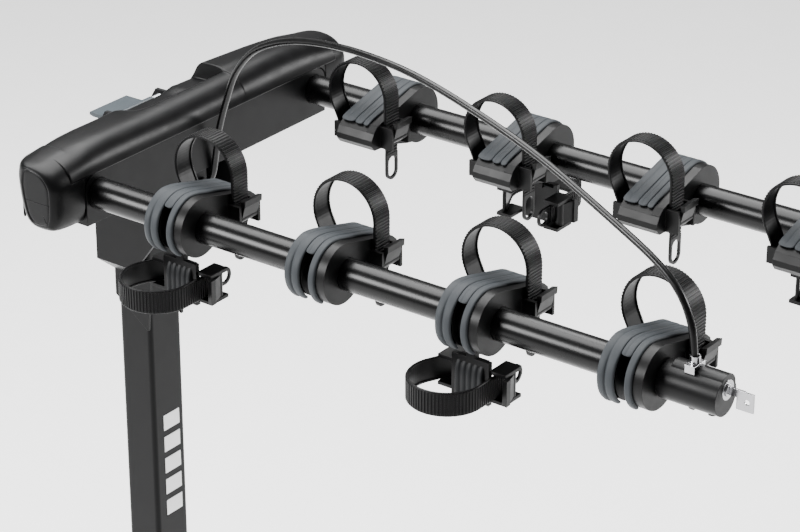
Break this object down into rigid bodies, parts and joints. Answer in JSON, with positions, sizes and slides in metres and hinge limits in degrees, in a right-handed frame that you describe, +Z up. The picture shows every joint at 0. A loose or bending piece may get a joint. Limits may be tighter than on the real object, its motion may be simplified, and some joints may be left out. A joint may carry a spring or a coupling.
{
  "type": "hitch mounted bike rack",
  "caption": "Hanging bike rack for a square hitch receiver: tilting mast, moulded head, two fold-down arms with strapped cradles and anti-sway cages, and a locking cable.",
  "frame": {"origin": "centre of the hitch pin hole in the receiver shank", "axes": "+X across the vehicle along the hitch pin, +Y forward into the receiver, +Z up; the arms reach back along -Y"},
  "size_m": [0.4936, 1.1425, 0.9682],
  "materials": {
    "powder_coat": "satin black powder coat",
    "frame_steel": "satin black",
    "zinc": "zinc plated",
    "housing": "satin moulded black",
    "lever_grey": "satin blue grey",
    "arm_gloss": "gloss black powder coat",
    "molded": "fine moulded texture",
    "lock_steel": "nickel plated",
    "cable_jacket": "smooth vinyl jacket",
    "pad_grey": "matt blue grey",
    "pad_dark": "matt dark grey",
    "strap_rubber": "satin black elastomer"
  },
  "bodies": {
    "base": {"receiver_shank": "powder_coat", "tilt_bracket": "powder_coat", "tilt_pivot_bolt": "zinc", "pull_pin_housing": "powder_coat"},
    "pull_pin": {"pull_pin": "zinc"},
    "mast": {"mast_post": "powder_coat", "pivot_bush": "zinc", "neck_bracket": "powder_coat", "head_frame": "frame_steel", "head_cover": "housing", "head_end_cap_left": "housing", "head_end_cap_right": "housing", "fold_shaft": "zinc", "latch_pin": "zinc", "latch_spring": "zinc"},
    "release_lever": {"release_lever": "lever_grey"},
    "arms": {"yoke_frame": "frame_steel", "yoke_cover": "housing", "left_arm_tube": "arm_gloss", "right_arm_tube": "arm_gloss", "right_arm_cap": "molded", "lock_cap": "housing", "lock_barrel": "lock_steel", "lock_cable": "cable_jacket", "cable_ferrule": "lock_steel", "cable_grommet": "molded", "left_cradles": "molded", "right_cradles": "molded", "left_pads": "pad_grey", "right_pads": "pad_grey", "left_straps": "strap_rubber", "right_straps": "strap_rubber"},
    "lock_plug": {"lock_plug": "lock_steel"},
    "lock_key": {"lock_key": "lock_steel"},
    "left_buckle_lever_1": {"left_buckle_lever_1": "molded"},
    "left_buckle_lever_2": {"left_buckle_lever_2": "molded"},
    "left_buckle_lever_3": {"left_buckle_lever_3": "molded"},
    "left_buckle_lever_4": {"left_buckle_lever_4": "molded"},
    "right_buckle_lever_1": {"right_buckle_lever_1": "molded"},
    "right_buckle_lever_2": {"right_buckle_lever_2": "molded"},
    "right_buckle_lever_3": {"right_buckle_lever_3": "molded"},
    "right_buckle_lever_4": {"right_buckle_lever_4": "molded"},
    "left_cage_1": {"left_cage_1": "molded", "left_cage_pad_1": "pad_dark", "left_cage_strap_1": "strap_rubber"},
    "left_cage_lever_1": {"left_cage_lever_1": "molded"},
    "left_cage_3": {"left_cage_3": "molded", "left_cage_pad_3": "pad_dark", "left_cage_strap_3": "strap_rubber"},
    "left_cage_lever_3": {"left_cage_lever_3": "molded"},
    "right_cage_2": {"right_cage_2": "molded", "right_cage_pad_2": "pad_dark", "right_cage_strap_2": "strap_rubber"},
    "right_cage_lever_2": {"right_cage_lever_2": "molded"},
    "right_cage_4": {"right_cage_4": "molded", "right_cage_pad_4": "pad_dark", "right_cage_strap_4": "strap_rubber"},
    "right_cage_lever_4": {"right_cage_lever_4": "molded"}
  },
  "joints": [
    {"name": "mast_tilt", "type": "hinge", "parent": "base", "child": "mast", "pos_m": [0, -0.215, 0.014], "axis": [1, 0, 0], "range_deg": [0, 50]},
    {"name": "arm_fold", "type": "hinge", "parent": "mast", "child": "arms", "pos_m": [0, -0.277, 0.76], "axis": [1, 0, 0], "range_deg": [0, 88]},
    {"name": "release_lever", "type": "hinge", "parent": "mast", "child": "release_lever", "pos_m": [0, -0.221, 0.774], "axis": [1, 0, 0], "range_deg": [0, 20], "stiffness_Nm_per_rad": 0.6, "springref_deg": -20.05},
    {"name": "pull_pin", "type": "slide", "parent": "base", "child": "pull_pin", "axis": [-1, 0, 0], "range_m": [0, 0.012], "stiffness_N_per_m": 900, "springref_m": -0.01},
    {"name": "lock_turn", "type": "hinge", "parent": "arms", "child": "lock_plug", "pos_m": [-0.171, -1.038, 0.766], "axis": [0, -1, 0], "range_deg": [0, 90]},
    {"name": "key_withdraw", "type": "slide", "parent": "lock_plug", "child": "lock_key", "axis": [0, -1, 0], "range_m": [0, 0.034]},
    {"name": "left_buckle_lever_1", "type": "hinge", "parent": "arms", "child": "left_buckle_lever_1", "pos_m": [-0.124, -0.4615, 0.758], "axis": [1, 0, 0], "range_deg": [0, 25], "stiffness_Nm_per_rad": 0.12, "springref_deg": -17.19},
    {"name": "left_buckle_lever_2", "type": "hinge", "parent": "arms", "child": "left_buckle_lever_2", "pos_m": [-0.124, -0.6365, 0.758], "axis": [1, 0, 0], "range_deg": [0, 25], "stiffness_Nm_per_rad": 0.12, "springref_deg": -17.19},
    {"name": "left_buckle_lever_3", "type": "hinge", "parent": "arms", "child": "left_buckle_lever_3", "pos_m": [-0.124, -0.8115, 0.758], "axis": [1, 0, 0], "range_deg": [0, 25], "stiffness_Nm_per_rad": 0.12, "springref_deg": -17.19},
    {"name": "left_buckle_lever_4", "type": "hinge", "parent": "arms", "child": "left_buckle_lever_4", "pos_m": [-0.124, -0.9865, 0.758], "axis": [1, 0, 0], "range_deg": [0, 25], "stiffness_Nm_per_rad": 0.12, "springref_deg": -17.19},
    {"name": "right_buckle_lever_1", "type": "hinge", "parent": "arms", "child": "right_buckle_lever_1", "pos_m": [0.124, -0.4615, 0.758], "axis": [1, 0, 0], "range_deg": [0, 25], "stiffness_Nm_per_rad": 0.12, "springref_deg": -17.19},
    {"name": "right_buckle_lever_2", "type": "hinge", "parent": "arms", "child": "right_buckle_lever_2", "pos_m": [0.124, -0.6365, 0.758], "axis": [1, 0, 0], "range_deg": [0, 25], "stiffness_Nm_per_rad": 0.12, "springref_deg": -17.19},
    {"name": "right_buckle_lever_3", "type": "hinge", "parent": "arms", "child": "right_buckle_lever_3", "pos_m": [0.124, -0.8115, 0.758], "axis": [1, 0, 0], "range_deg": [0, 25], "stiffness_Nm_per_rad": 0.12, "springref_deg": -17.19},
    {"name": "right_buckle_lever_4", "type": "hinge", "parent": "arms", "child": "right_buckle_lever_4", "pos_m": [0.124, -0.9865, 0.758], "axis": [1, 0, 0], "range_deg": [0, 25], "stiffness_Nm_per_rad": 0.12, "springref_deg": -17.19},
    {"name": "left_cage_1_swing", "type": "hinge", "parent": "arms", "child": "left_cage_1", "pos_m": [-0.174, -0.428, 0.76], "axis": [0, 1, 0], "range_deg": [-10, 36]},
    {"name": "left_cage_lever_1", "type": "hinge", "parent": "left_cage_1", "child": "left_cage_lever_1", "pos_m": [-0.17, -0.4615, 0.7], "axis": [0, 0, 1], "range_deg": [0, 25], "stiffness_Nm_per_rad": 0.12, "springref_deg": -17.19},
    {"name": "left_cage_3_swing", "type": "hinge", "parent": "arms", "child": "left_cage_3", "pos_m": [-0.174, -0.778, 0.76], "axis": [0, 1, 0], "range_deg": [-10, 36]},
    {"name": "left_cage_lever_3", "type": "hinge", "parent": "left_cage_3", "child": "left_cage_lever_3", "pos_m": [-0.17, -0.8115, 0.7], "axis": [0, 0, 1], "range_deg": [0, 25], "stiffness_Nm_per_rad": 0.12, "springref_deg": -17.19},
    {"name": "right_cage_2_swing", "type": "hinge", "parent": "arms", "child": "right_cage_2", "pos_m": [0.174, -0.603, 0.76], "axis": [0, -1, 0], "range_deg": [-10, 36]},
    {"name": "right_cage_lever_2", "type": "hinge", "parent": "right_cage_2", "child": "right_cage_lever_2", "pos_m": [0.17, -0.6365, 0.7], "axis": [0, 0, -1], "range_deg": [0, 25], "stiffness_Nm_per_rad": 0.12, "springref_deg": -17.19},
    {"name": "right_cage_4_swing", "type": "hinge", "parent": "arms", "child": "right_cage_4", "pos_m": [0.174, -0.953, 0.76], "axis": [0, -1, 0], "range_deg": [-10, 36]},
    {"name": "right_cage_lever_4", "type": "hinge", "parent": "right_cage_4", "child": "right_cage_lever_4", "pos_m": [0.17, -0.9865, 0.7], "axis": [0, 0, -1], "range_deg": [0, 25], "stiffness_Nm_per_rad": 0.12, "springref_deg": -17.19}
  ]
}
